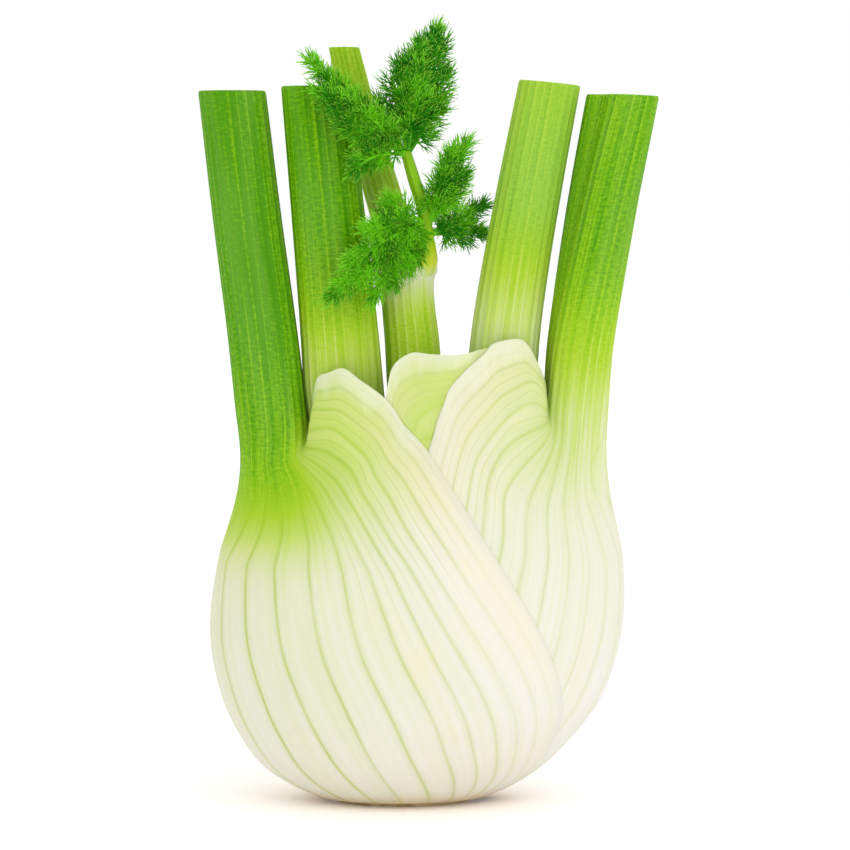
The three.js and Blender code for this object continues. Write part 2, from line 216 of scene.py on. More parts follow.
def tubes(paths, radii, sides, first=0):  # many tapering tubes at once, from arrays of paths
    paths = np.asarray(paths, float)
    radii = np.asarray(radii, float)
    count, steps, _ = paths.shape
    toward = np.gradient(paths, axis=1)
    toward /= np.linalg.norm(toward, axis=2, keepdims=True) + 1e-12
    guide = np.where(np.abs(toward[:, :1, 1:2]) < 0.9, [[[0.0, 1, 0]]], [[[1.0, 0, 0]]])
    aside = np.cross(np.broadcast_to(guide, toward.shape), toward)
    aside /= np.linalg.norm(aside, axis=2, keepdims=True) + 1e-12
    upright = np.cross(toward, aside)
    turn = np.arange(sides) * 2 * math.pi / sides
    offset = aside[:, :, None] * np.cos(turn)[None, None, :, None]
    offset = offset + upright[:, :, None] * np.sin(turn)[None, None, :, None]
    points = paths[:, :, None] + offset * radii[:, :, None, None]
    faces = []
    for k in range(count):
        start = first + k * steps * sides
        faces += gridFaces(steps, sides, start)
        faces.append(list(range(start + sides - 1, start - 1, -1)))
        faces.append(list(range(start + (steps - 1) * sides, start + steps * sides)))
    return points.reshape(-1, 3), faces


# the bulb's form and its leaves, from the outermost in

bulb = {
    "width": 99, "depth": 73, "shoulder": 106,  # mm
    "flesh": 6, "margin": 0.16, "lip": 0.8, "gap": 0.06, "unevenness": 0.5,  # mm
    "ears": (84, 100), "earWave": 0.9, "earSway": 0.02,  # heights in mm, mm in and out, share to the side
    "earWaves": (38, 71, 115), "dropRise": (0.6, 0.95),  # radians over along, along
    "bedRise": (52, 8),  # mm below the stalk where the flesh fills out
    "leastSpread": 12, "leastReach": 20, "coverEnd": 9,  # degrees
    "climb": 1.25,  # power by which the rows of a base crowd at its foot
    "veins": 24, "waist": 58,  # round each leaf's back, and the height where their fan begins
    "fanFade": (28, 4), "leastFan": 0.08,  # mm below the fan's pole where it ends, and its least width
    "ribRise": 0.24, "veinRise": 0.1, "ribWidth": 0.26, "veinWidth": 0.1,  # mm, and shares of the gap
    "ribStart": (0.8, 1.1),  # along, where veins turn to ribs
}


def byHeight(pairs, size):
    return track([(h * bulb["shoulder"], v * size) for h, v in pairs])


halfWidth = byHeight([
    (0, 0.36), (0.033, 0.53), (0.075, 0.67), (0.13, 0.78), (0.23, 0.915), (0.38, 0.998),
    (0.55, 0.985), (0.72, 0.915), (0.81, 0.88), (1, 0.83)], bulb["width"] / 2)
halfDepth = byHeight([
    (0, 0.4), (0.033, 0.55), (0.075, 0.68), (0.13, 0.8), (0.23, 0.93), (0.38, 1),
    (0.55, 0.92), (0.72, 0.74), (0.81, 0.61), (1, 0.37)], bulb["depth"] / 2)
centreLine = byHeight([
    (0, 0), (0.075, 0.002), (0.23, 0.024), (0.38, 0.034), (0.55, 0.044), (0.81, 0.054), (1, 0.054)],
    bulb["width"])
fleshByHeight = byHeight([
    (0, 0.3), (0.1, 0.65), (0.25, 1), (0.45, 1), (0.62, 0.75), (0.8, 0.4), (1, 0.2)], bulb["flesh"])
swirl = track([(0, 1.6), (6, 1.47), (14, 1.34), (24.2, 1.23), (36.5, 1.12), (48, 1.05), (58, 1)])

# along is 0 at a leaf's foot, 1 where its stalk begins and 2 at the cut; across is -1 to 1, edge to edge
# spread: height, degrees each way; line: z, x, y of the stalk's middle; greening: along, how green
# earEdge: along, degrees from the stalk, height; tuck: along, mm inward; fan: degrees and height of its pole
# ear: mm that the free edges climb past the stalk's foot; backDrop: mm that the ear behind is lower
# bed: mm of flesh under the stalk; notch: along, where the ears meet the stalk
# foothold and cut: half sizes of the stalk in mm; twist: degrees; slant and groove: shares
# lines: strength of the veins at the back and the edges; fanned: across, where they leave the fan
# veinShift: how far round they are moved, in veins; bloom: pale wax on the stalk and a painted sheen
# earFade: how much less green at the edges; cream: how much more at the back
leaves = [
    {
        "node": "leaf_left_outer", "slot": "outer_leaf", "side": -1, "foot": 1.2, "junction": 84,
        "ear": 29.5, "bed": 18, "notch": (0.99, 1.05), "lines": (1.0, 0.74), "veinShift": 0.24,
        "fanned": (0.5, 0.8), "bloom": 0.03, "cream": 0.04,
        "earEdge": [(0.85, 82.5, 91.9), (0.89, 77, 97), (0.925, 69, 101.5), (0.945, 63, 104.3),
                    (0.962, 57, 103.2), (0.98, 52.5, 102), (1, 51.4, 97), (1.03, 52, 88)],
        "tuck": [(0.9, 0), (0.94, 0), (0.965, 1.5), (1, 4.5), (1.05, 6)],
        "backDrop": 2, "fan": (52.5, 89.5),
        "spread": track([(0, 166), (8, 158), (20, 145), (36, 131), (58, 113), (84, 92), (97, 77), (104, 63)]),
        "line": [(84, -30.2, -0.5), (111, -33, -1), (140, -36.7, -1), (170, -40.2, -1)],
        "foothold": (8.6, 8.8), "cut": (8.2, 7.8), "slant": 0, "twist": 0, "groove": 0.12,
        "greening": [(0, 0), (0.62, 0), (0.73, 0.08), (0.84, 0.41), (0.91, 0.61), (1.01, 0.76),
                     (1.2, 0.83), (1.4, 0.89), (2, 0.9)],
        "earFade": 0.56,
    },
    {
        "node": "leaf_right_outer", "slot": "outer_leaf", "side": 1, "foot": 2.4, "junction": 84,
        "ear": 36, "bed": 16.2, "notch": (1.07, 1.17), "lines": (0.3, 0.58), "veinShift": 0,
        "fanned": (0.15, 0.4), "bloom": 0.04, "cream": -0.01,
        "earEdge": [(0.86, 81.5, 99.1), (0.9, 76.3, 103.9), (0.96, 67, 109.4), (1, 60, 110.9),
                    (1.04, 53.5, 110.4), (1.08, 48, 104), (1.12, 46.6, 100), (1.17, 46.6, 98.6)],
        "tuck": [(0.96, 0), (1, 0), (1.05, 1.5), (1.1, 4), (1.17, 5)],
        "backDrop": 2, "fan": (47, 100),
        "spread": track([(0, 120), (20, 110), (36, 103), (58, 97), (84, 89), (99, 81), (110, 65)]),
        "line": [(84, 41, -0.5), (97, 41.5, -1), (111, 42.6, -1.5), (140, 47.2, -2), (169, 52.6, -2)],
        "foothold": (7.8, 8.6), "cut": (7.9, 7.6), "slant": -0.03, "twist": 38, "groove": 0.3,
        "greening": [(0, 0), (0.8, 0.03), (1, 0.18), (1.13, 0.27), (1.28, 0.5), (1.57, 0.81), (2, 0.83)],
        "earFade": 0.2,
    },
    {
        "node": "leaf_left_inner", "slot": "inner_leaf", "side": -1, "foot": 7, "junction": 90,
        "ear": 10, "bed": 15.7, "notch": (0.925, 1.06), "lines": (0.4, 0.4), "veinShift": 0,
        "fanned": (0.5, 0.8), "bloom": 0, "cream": 0,
        "earEdge": [(0.9, 80, 88.5), (1, 70, 100)],
        "tuck": [(0.9, 0), (1, 0)], "backDrop": 0, "fan": (60, 94),
        "spread": track([(0, 140), (36, 118), (60, 102), (84, 84), (100, 70)]),
        "line": [(90, -13.3, 0), (111, -14.6, -1), (140, -17.2, -3), (171, -20.2, -4.5)],
        "foothold": (9.8, 7.6), "cut": (8.3, 6.8), "slant": 0, "twist": 0, "groove": 0.1,
        "greening": [(0, 0), (0.8, 0.15), (1, 0.33), (1.22, 0.4), (1.4, 0.7), (1.65, 0.88), (2, 0.88)],
        "earFade": 0.1,
    },
    {
        "node": "leaf_right_inner", "slot": "inner_leaf", "side": 1, "foot": 9, "junction": 90,
        "ear": 26, "bed": 16.3, "notch": (1.1, 1.2), "lines": (0.3, 0.3), "veinShift": 0,
        "fanned": (0.5, 0.8), "bloom": 0.45, "cream": 0,
        "earEdge": [(0.85, 104, 95.5), (0.88, 102.5, 100.5), (0.905, 101, 104), (0.93, 98, 106.6),
                    (0.955, 93, 108), (0.98, 87, 107.6), (1.02, 79, 107.4), (1.06, 71, 108.6),
                    (1.1, 63, 109.3)],
        "tuck": [(0.9, 0), (1, 0)], "backDrop": 4, "fan": (60, 106),
        "spread": track([(0, 145), (36, 128), (60, 116), (84, 108), (97, 103), (108, 88)]),
        "line": [(90, 23, 1), (111, 24.5, 1), (128, 26.9, 1), (150, 30.8, 0.5), (172, 35, 0)],
        "foothold": (8.6, 7.4), "cut": (7.4, 6.6), "slant": -0.1, "twist": 0, "groove": 0.1,
        "greening": [(0, 0), (0.8, 0.22), (1, 0.31), (1.28, 0.23), (1.43, 0.41), (1.66, 0.66), (2, 0.62)],
        "earFade": 0.1,
    },
]

stalkForm = {  # how a leaf's back wraps its stalk
    "backReach": 160,  # degrees each way
    "bunching": 2.2, "baseBunching": 0.6,  # how much the ears' columns crowd at the inner side
    "flow": (0.72, 1.14), "earPart": (0.4, 0.9),  # along and across, where base turns to stalk
    "squareness": 2.5, "grooveWidth": 0.42,  # power of the rounded square, radians
    "bevel": 0.02, "cutDrop": 0.35,  # share of the size, mm
    "ribs": 26, "columns": 216, "innerColumns": 64,
    "rows": [(0, 0.8, 56), (0.812, 1.2, 62), (1.22, 1.985, 34), (1.993, 2, 2)],  # along: from, to, how many
}


def bunched(across):
    return np.sign(across) * (1 - (1 - np.minimum(np.abs(across), 1)) ** stalkForm["bunching"])


def wrapped(across, along):  # where a column lies on the leaf's base, as a share of the way to its edge
    crowding = lerp(stalkForm["baseBunching"], 1, smooth(along, stalkForm["flow"][0], 1))
    return lerp(across, bunched(across), crowding)


def girth(across, inner):  # angle round the stalk from its outer side
    backReach = math.radians(stalkForm["backReach"])
    across = np.clip(across, -1, 1)
    return np.where(inner, math.pi - across * (math.pi - backReach), bunched(across) * backReach)


def leafTurn(leaf, angle):  # from the angle off the leaf's own stalk to the turn round the bulb
    return -angle if leaf["side"] > 0 else math.pi + angle


def angleFromStalk(leaf, turn):
    angle = -turn if leaf["side"] > 0 else turn - math.pi
    return np.arctan2(np.sin(angle), np.cos(angle))


def fleshAt(leaf, z):  # thickness along x and along y
    thin = fleshByHeight(z)
    low, high = (leaf["junction"] - below for below in bulb["bedRise"])
    return lerp(thin, leaf["bed"], smooth(z, low, high)), thin


def rimAt(z):  # thickness of a free edge, fuller at the ears
    return lerp(bulb["margin"], bulb["lip"], smooth(z, *bulb["ears"]))


def coverOf(leaf, turn, z):  # room that an outer leaf takes, ending just past its edge
    angle = np.abs(angleFromStalk(leaf, turn))
    edge = np.radians(np.maximum(leaf["spread"](z), bulb["leastSpread"]))
    taper = np.minimum(angle / edge, 1) ** 4
    past = 1 - smooth(angle, edge, edge + math.radians(bulb["coverEnd"]))
    return [(lerp(flesh, rimAt(z), taper) + bulb["gap"]) * past for flesh in fleshAt(leaf, z)]


def depthUnder(rank, turn, z):
    covers = [coverOf(leaf, turn, z) for leaf in leaves[:rank]]
    return sum((c[0] for c in covers), 0 * z), sum((c[1] for c in covers), 0 * z)


def bulbPoint(turn, z, insetX, insetY):
    x = centreLine(z) + (halfWidth(z) - insetX) * np.cos(turn)
    y = (halfDepth(z) - insetY) * np.sin(turn)
    return np.stack(np.broadcast_arrays(x, y, z), -1)


def ridge(count, width):  # 1 at each whole number, falling off on both sides
    return np.exp(-((np.abs(np.mod(count + 0.5, 1) - 0.5) / width) ** 2))


def reliefAt(phase, ribs, along, across):  # veins stand out a little on the bulb, and ribs on the stalk
    stalk = smooth(along, *bulb["ribStart"])
    vein = ridge(phase, bulb["veinWidth"]) * (1 - np.minimum(np.abs(across), 1) ** 4)
    return lerp(bulb["veinRise"] * vein, bulb["ribRise"] * ridge(ribs, bulb["ribWidth"]), stalk)


def edgeTracks(leaf):  # the free edge of a leaf: degrees from its stalk and height, by how far along
    low = np.linspace(0, 0.8, 9)
    z = leaf["foot"] + low ** bulb["climb"] * (leaf["junction"] + leaf["ear"] - leaf["foot"])
    along, turn, height = np.concatenate([np.stack([low, leaf["spread"](z), z], -1), leaf["earEdge"]]).T
    return track(np.stack([along, turn], -1)), track(np.stack([along, height], -1))


def basePoint(rank, across, along, depth, relief):
    leaf = leaves[rank]
    edgeTurn, edgeHeight = edgeTracks(leaf)
    edge = np.minimum(np.abs(across), 1)
    edgeZ = edgeHeight(along) - leaf["backDrop"] * smooth(along, *bulb["dropRise"]) * (across < 0)
    backZ = leaf["foot"] + along ** bulb["climb"] * (leaf["junction"] - leaf["foot"])
    z = lerp(backZ, edgeZ, edge ** 3)
    reach = np.radians(np.maximum(edgeTurn(along), bulb["leastReach"]))
    waveA, waveB, waveC = (along * pace for pace in bulb["earWaves"])
    wave = edge ** 6 * smooth(z, *bulb["ears"]) * ripple(waveA + rank, waveB, waveC)
    reach = reach * (1 + bulb["earSway"] * wave)
    turn = leafTurn(leaf, wrapped(across, along) * reach)
    underX, underY = depthUnder(rank, turn, z)
    dent = bulb["unevenness"] * ripple(2 * turn + z * 0.07, 3 * turn - z * 0.11, 5 * turn + z * 0.05)
    tuck = np.maximum(track(leaf["tuck"])(along), 0) * edge ** 3
    underX = underX - dent + bulb["earWave"] * wave
    underY = underY - dent + bulb["earWave"] * wave + tuck
    fleshX, fleshY = fleshAt(leaf, z)
    thin = edge ** 4
    insetX = lerp(-relief, lerp(fleshX, rimAt(z), thin), depth)
    insetY = lerp(-relief, lerp(fleshY, rimAt(z), thin), depth)
    return bulbPoint(turn, z, underX + insetX, underY + insetY)


def stalkPoint(rank, across, along, inner, relief):
    leaf = leaves[rank]
    line = np.array(leaf["line"], float)
    z = lerp(leaf["junction"], line[-1, 0], along - 1)
    grown = np.clip(along - 1, 0, 1)
    angle = girth(across, inner)
    power = stalkForm["squareness"]
    square = (np.abs(np.cos(angle)) ** power + np.abs(np.sin(angle)) ** power) ** (-1 / power)
    fromInner = np.abs(np.arctan2(np.sin(angle - math.pi), np.cos(angle - math.pi)))
    channel = leaf["groove"] * np.exp(-((fromInner / stalkForm["grooveWidth"]) ** 2)) * grown ** 0.3
    reach = square * (1 - channel) + relief / leaf["cut"][0]
    turn = leafTurn(leaf, angle - math.radians(leaf["twist"]) * grown)
    dx = lerp(leaf["foothold"][0], leaf["cut"][0], grown) * reach * np.cos(turn)
    dy = lerp(leaf["foothold"][1], leaf["cut"][1], grown) * reach * np.sin(turn)
    x = track(line[:, [0, 1]])(z) + dx
    y = track(line[:, [0, 2]])(z) + dy
    return np.stack(np.broadcast_arrays(x, y, z + leaf["slant"] * dx * grown), -1)


def leafRing():  # across, depth, inner side and ribs counted, round one ring of a leaf
    table = np.linspace(-1, 1, 2001)
    even = np.linspace(-1, 1, stalkForm["columns"] + 1)
    back = np.interp(even, 0.5 * table + 0.5 * bunched(table), table)
    edge = np.array([0.2, 0.5, 0.8])
    inner = np.linspace(1, -1, stalkForm["innerColumns"] + 1)
    swell = 1 + 0.006 * np.sin(math.pi * edge)
    across = np.concatenate([back, swell, inner, -swell[::-1]])
    depth = np.concatenate([0 * back, edge, 0 * inner + 1, edge[::-1]])
    isInner = np.concatenate([0 * back, 0 * edge, 0 * inner + 1, 0 * edge]) > 0.5
    ribs = girth(across, isInner) * stalkForm["ribs"] / (2 * math.pi)
    return across, depth, isInner, ribs


def veinCount(leaf, points, across):  # veins counted round a leaf: a fan from the notch, a swirl below
    x, z = points[..., 0], points[..., 2]
    side = np.clip(leaf["side"] * (x - centreLine(z)) / halfWidth(z), -1, 1)
    angle = np.degrees(np.arccos(side))
    pole, top = leaf["fan"]
    fan = pole + (angle - pole) / np.clip((top - z) / (top - bulb["waist"]), bulb["leastFan"], 1)
    atWaist = np.where(z < bulb["waist"], angle / swirl(z), fan) / leaf["spread"](bulb["waist"])
    table = np.linspace(0, 1, 201)
    fanned = np.sign(across) * np.interp(atWaist, wrapped(table, 0), table)
    column = np.clip(across, -1, 1) + 0 * z
    low, high = (top - below for below in bulb["fanFade"])
    onFan = (1 - smooth(np.abs(column), *leaf["fanned"])) * (1 - smooth(z, low, high))
    return bulb["veins"] * (lerp(column, fanned, onFan) + 1) / 2 - leaf["veinShift"]


def leafPoints(rank, along):
    across, depth, isInner, ribs = (part[None, :] for part in leafRing())
    along = along[:, None]
    towardEar = smooth(np.abs(across), *stalkForm["earPart"])
    (start, end), (first, last) = stalkForm["flow"], leaves[rank]["notch"]
    flow = smooth(along, lerp(start, first, towardEar), lerp(end, last, towardEar))[..., None]

    def surface(relief):
        base = basePoint(rank, across, along, depth, relief)
        return lerp(base, stalkPoint(rank, across, along, isInner, relief), flow)

    phase = veinCount(leaves[rank], surface(0 * along), across)
    return surface(reliefAt(phase, ribs, along, across)), across, phase, ribs


def ringPitch(points, count):  # millimetres from one vein or rib to the next, all over a leaf
    wide = np.linalg.norm(np.roll(points, -1, 1) - np.roll(points, 1, 1), axis=2)
    step = np.abs(np.roll(count, -1, 1) - np.roll(count, 1, 1))
    return np.clip(wide / np.maximum(step, 1e-4), 0.05, 40)


def capRings(ring, sizes, drop):  # the cut across a stalk: rings that close on its middle
    middle = ring.mean(0)
    rings = []
    for size in sizes:
        shrunk = middle + (ring - middle) * size
        shrunk[:, 2] -= drop * (1 - size) * (1 + 0.5 * ripple(shrunk[:, 0] * 1.9, shrunk[:, 1] * 2.3))
        rings.append(shrunk)
    return np.array(rings)


cutSizes = [0.985, 0.94, 0.86, 0.75, 0.6, 0.42, 0.22, 0]  # shares of the stalk's size
leafTone = {  # across or along, where the measures for the paint change
    "pale": (0.36, 0.62), "paleEnd": (1, 1.15), "back": (0.35, 0.7), "sideVeins": (0.25, 0.5),
    "fine": (0.38, 0.6), "fineRise": (0.45, 0.75),
    "rim": (0.5, 0.95), "rimEnd": (0.55, 0.8), "rimFade": 0.8,
}


def buildLeaf(rank, paint):
    leaf = leaves[rank]
    along = np.concatenate([np.linspace(*part) for part in stalkForm["rows"]])
    points, across, phase, ribs = leafPoints(rank, along)
    points[-1] += (points[-1].mean(0) - points[-1]) * stalkForm["bevel"]
    cap = capRings(points[-1], cutSizes, stalkForm["cutDrop"])
    columns = points.shape[1]
    everything = np.concatenate([points, cap])
    alongAll = np.repeat(np.concatenate([along, 0 * np.array(cutSizes) + 2])[:, None], columns, 1)
    phaseAll = np.concatenate([phase, np.repeat(phase[-1:], len(cap), 0)])
    ribsAll = np.repeat(ribs, len(everything), 0)
    green = np.clip(track(leaf["greening"])(alongAll), 0, 1)
    nearEdge = smooth(np.abs(across), *leafTone["pale"]) * (1 - smooth(alongAll, *leafTone["paleEnd"]))
    nearBack = 1 - smooth(np.abs(across), *leafTone["back"])
    green = green * (1 - leaf["earFade"] * nearEdge) + leaf["cream"] * nearBack
    pith = np.repeat(np.concatenate([0 * along, 1 - np.array(cutSizes)])[:, None], columns, 1)
    faces = gridFaces(len(everything), columns)
    faces.append(list(range(columns))[::-1])
    edge = np.repeat(np.abs(across), len(everything), 0)
    rim = smooth(edge, *leafTone["rim"]) * (1 - smooth(alongAll, *leafTone["rimEnd"]))
    lines = lerp(*leaf["lines"], smooth(edge, *leafTone["sideVeins"])) * (1 - leafTone["rimFade"] * rim)
    fine = smooth(edge, *leafTone["fine"]) * smooth(alongAll, *leafTone["fineRise"])
    fine = fine * (1 - smooth(alongAll, *leaf["notch"]))
    piece = addPiece(leaf["node"] + "_skin", everything.reshape(-1, 3), faces, paint, {
        "phase": phaseAll, "pitch": ringPitch(everything, phaseAll), "along": alongAll,
        "ribs": ribsAll, "ribPitch": ringPitch(everything, ribsAll), "lines": lines,
        "green": green, "pith": pith, "edge": edge, "fine": fine, "bloom": leaf["bloom"] + 0 * edge,
    })
    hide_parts(leaf["node"])


# the skin of the leaves: ivory bulb, green veins and stalks, pale cut ends

skin = {
    "greens": [
        (0.0, tint(240, 238, 232)), (0.14, tint(225, 230, 188)), (0.33, tint(201, 221, 112)),
        (0.52, tint(174, 210, 48)), (0.72, tint(141, 195, 14)), (0.9, tint(101, 168, 0)),
        (1.0, tint(76, 150, 0))],
    "cut": tint(226, 232, 190), "cutDots": tint(176, 200, 110), "cutCells": 520.0,
    "warm": tint(244, 232, 186), "bloom": tint(172, 212, 104), "foot": tint(220, 190, 136),
    "film": tint(242, 239, 216), "fringe": tint(240, 243, 226),
    "veinPale": tint(184, 203, 76), "veinGreen": tint(160, 200, 36),
    "core": 0.45, "vein": 1.0, "halo": 2.6, "rib": 0.42,  # mm each way
    "veinParts": (0.4, 0.3, 0.12),  # strength of core, body and halo
    "fibreShare": 0.42, "tickShare": 0.5, "bandShare": 0.3, "lineShare": 0.14,  # how far each moves the green
    "patchShare": 0.16, "warmShare": 0.3, "filmShare": 0.4, "fringeShare": 0.42,
    "footShare": 0.5, "dotShare": 0.7, "waxAndSheenShare": 0.14,
    "roughness": 0.48, "sheen": 0.16, "bump": (0.12, 0.0004), "gloss": 0.07,  # the bump's depth in metres
    "glow": 0.22, "glowSpread": (1, 0.9, 0.5), "glowDepth": 0.0022,
}


def skinPaint(name):
    paint = Paint(name)
    phase, pitch = paint.measure("phase"), paint.measure("pitch")
    along, edge = paint.measure("along"), paint.measure("edge")
    green, pith, bloom = paint.measure("green"), paint.measure("pith"), paint.measure("bloom")
    lines, fine = paint.measure("lines"), paint.measure("fine")
    ribs, ribPitch = paint.measure("ribs"), paint.measure("ribPitch")
    place = paint.place()
    stalk = along.ease(0.8, 1.0) * (1 - fine)
    # veins: a core, a body and a halo, wandering a little, with fine ones between them near the ears
    wander = paint.noise(paint.vector(phase * 0.7, along * 1.2, 0), 1.0, 1) - 0.5
    lane = phase + wander * (1 - stalk) * (0.3 - fine * 0.2)
    distance = abs((lane + 0.5) % 1 - 0.5) * pitch
    between = abs(lane % 1 - 0.5) * pitch
    beat = paint.noise(paint.vector(lane * 0.8, along * 4, 9), 1.0, 2).ease(0.3, 0.62) * 0.4 + 0.6
    core, body, halo = skin["veinParts"]
    vein = distance.ease(skin["core"], 0.05) * core + distance.ease(skin["vein"], 0.2) * body
    vein = vein + distance.ease(skin["halo"], 0.3) * halo + between.ease(skin["core"], 0.05) * fine * core
    vein = vein * beat * lines * (1 - green.ease(0.35, 0.75))
    # ribs, fibres and cross marks of the stalk, and faint lines on the bulb
    ribNumber = ribs + 0.5 - (ribs + 0.5) % 1
    ribTone = paint.noise(paint.vector(ribNumber * 2.3, along * 1.8, 3), 1.0, 1).ease(0.3, 0.7)
    rib = (abs((ribs + 0.5) % 1 - 0.5) * ribPitch).ease(skin["rib"], 0.05)
    fibres = paint.noise(paint.vector(ribs * 5, along * 2.4, 0), 1.0, 4)
    bands = paint.noise(paint.vector(ribs * 0.8, along * 0.5, 0), 1.0, 1)
    ticks = paint.noise(paint.vector(ribs * 1.6, along * 130, 0), 1.0, 2)
    striae = paint.noise(paint.vector(lane * 6, along * 1.6, 2), 1.0, 2)
    # from ivory to green, then pale wax and a painted sheen on the stalk
    atEdge = edge.ease(0.5, 0.9)
    shade = green + (along.ease(0.1, 0.6) * (1 - atEdge) + along.ease(0.5, 0.85) * atEdge) * 0.05
    shade = shade - rib * stalk * green.ease(0.1, 0.5) * (ribTone * 0.12 + 0.03)
    shade = shade + (fibres - 0.5) * (0.05 + stalk * skin["fibreShare"])
    shade = shade + (ticks - 0.5) * stalk * green.ease(0.2, 0.7) * skin["tickShare"]
    shade = shade + (bands - 0.5) * (stalk * skin["bandShare"] + 0.06)
    shade = shade + (striae - 0.5) * (1 - stalk) * skin["lineShare"]
    colour = paint.ramp(shade, skin["greens"])
    # pale patches on the stalk: partly wax, partly a painted sheen for the light its sides catch
    waxAndSheenMask = paint.noise(paint.vector(ribs * 0.36, along * 1.1, 6), 1.0, 2).ease(0.46, 0.68)
    waxAndSheenMask = (waxAndSheenMask * skin["waxAndSheenShare"] + bloom) * stalk * green.ease(0.4, 0.8)
    colour = paint.mix(waxAndSheenMask, colour, skin["bloom"])
    # warm streaks and patches on the ivory, with the veins over them
    streaks = paint.noise(paint.vector(phase * 0.9, along * 5, 4), 1.0, 3).ease(0.52, 0.72)
    warmth = paint.noise(place, 42.0).ease(0.5, 0.72) * skin["patchShare"]
    warmth = warmth + streaks * edge.ease(0.3, 0.8) * along.ease(0.12, 0.4) * skin["warmShare"]
    warmth = warmth + edge.ease(0.7, 0.95) * along.ease(0.3, 0.5) * skin["warmShare"]
    colour = paint.mix(warmth * (1 - green.ease(0.15, 0.5)), colour, skin["warm"])
    colour = paint.mix(vein, colour, paint.mix(green.ease(0.02, 0.4), skin["veinPale"], skin["veinGreen"]))
    # the pale free edges, the tanned foot and the dotted cut end
    film = edge.ease(0.9, 1.0) * (1 - along.ease(1.0, 1.15)) * skin["filmShare"]
    colour = paint.mix(film, colour, skin["film"])
    torn = paint.noise(paint.vector(along * 60, edge * 9, 8), 1.0, 3) - 0.5
    fringe = (edge + torn * 0.16).ease(0.9, 1.0) * along.ease(0.76, 0.88) * (1 - along.ease(1.0, 1.12))
    colour = paint.mix(fringe * skin["fringeShare"], colour, skin["fringe"])
    tanned = (along + (striae - 0.5) * 0.1).ease(0.07, 0.0) * skin["footShare"]
    colour = paint.mix(tanned, colour, skin["foot"])
    cells = paint.node("ShaderNodeTexVoronoi", {}, {"Vector": place, "Scale": skin["cutCells"]}, "Distance")
    cut = paint.mix(cells.ease(0.34, 0.2) * skin["dotShare"], skin["cut"], skin["cutDots"])
    colour = paint.mix(pith.ease(0.02, 0.12), colour, cut)
    return paint.finish({
        "Base Color": colour, "Roughness": (fibres - 0.5) * skin["sheen"] + skin["roughness"],
        "Normal": paint.bump(fibres, *skin["bump"]), "Specular IOR Level": skin["gloss"],
        "Subsurface Weight": skin["glow"], "Subsurface Radius": skin["glowSpread"],
        "Subsurface Scale": skin["glowDepth"],
    })


leafPaint = skinPaint("fennelSkin")
for rank in range(len(leaves)):
    buildLeaf(rank, leafPaint)
print("leaves built")


# the middle leaf: a heart inside the others, its stalk, the node and the thinner stalk above it

centre = {
    "node": "leaf_centre", "ribs": 18, "columns": 10, "ribWidth": 0.24,  # columns to each rib
    "ribRise": 0.2, "room": 0.6, "cutDrop": 0.3,  # mm
    "foot": 15, "heartTop": 82, "narrowing": (54, 81), "paintLength": 86,  # mm up the bulb
    "stalkRows": [(90, 124, 24), (124.5, 131, 22), (132, 181, 34)],  # from, to, how many: closest at the node
    "rows": [  # z, x, y, half width, half depth
        (90, 3.6, 1.5, 6.5, 6.3), (98, 3.1, 2, 6.5, 6.2), (110, 2.4, 2.3, 6.4, 6), (120, 1.4, 2.5, 6.2, 6),
        (125, 1.2, 2.7, 6.3, 6), (127.6, 1.4, 2.9, 6.9, 6.3), (129, 0.9, 3.2, 6.4, 6),
        (131, -0.6, 4.1, 5.2, 5.1), (135, -1.6, 5.4, 4.6, 4.6), (148, -5.4, 8.6, 4.4, 4.4),
        (162, -9.7, 11, 4.2, 4.3), (174, -12.5, 11.5, 3.8, 4.1), (181, -14.1, 11.6, 3.5, 4)],
    "greening": [  # z, how green; paler where the sprays shade the stalk, partly as painted light against that shade
        (15, 0.1), (80, 0.3), (95, 0.46), (112, 0.5), (118, 0.42), (121, 0.28), (123.5, 0.19),
        (126, 0.1), (130, 0.3), (134, 0.4), (142, 0.44), (160, 0.5), (181, 0.6)],
}


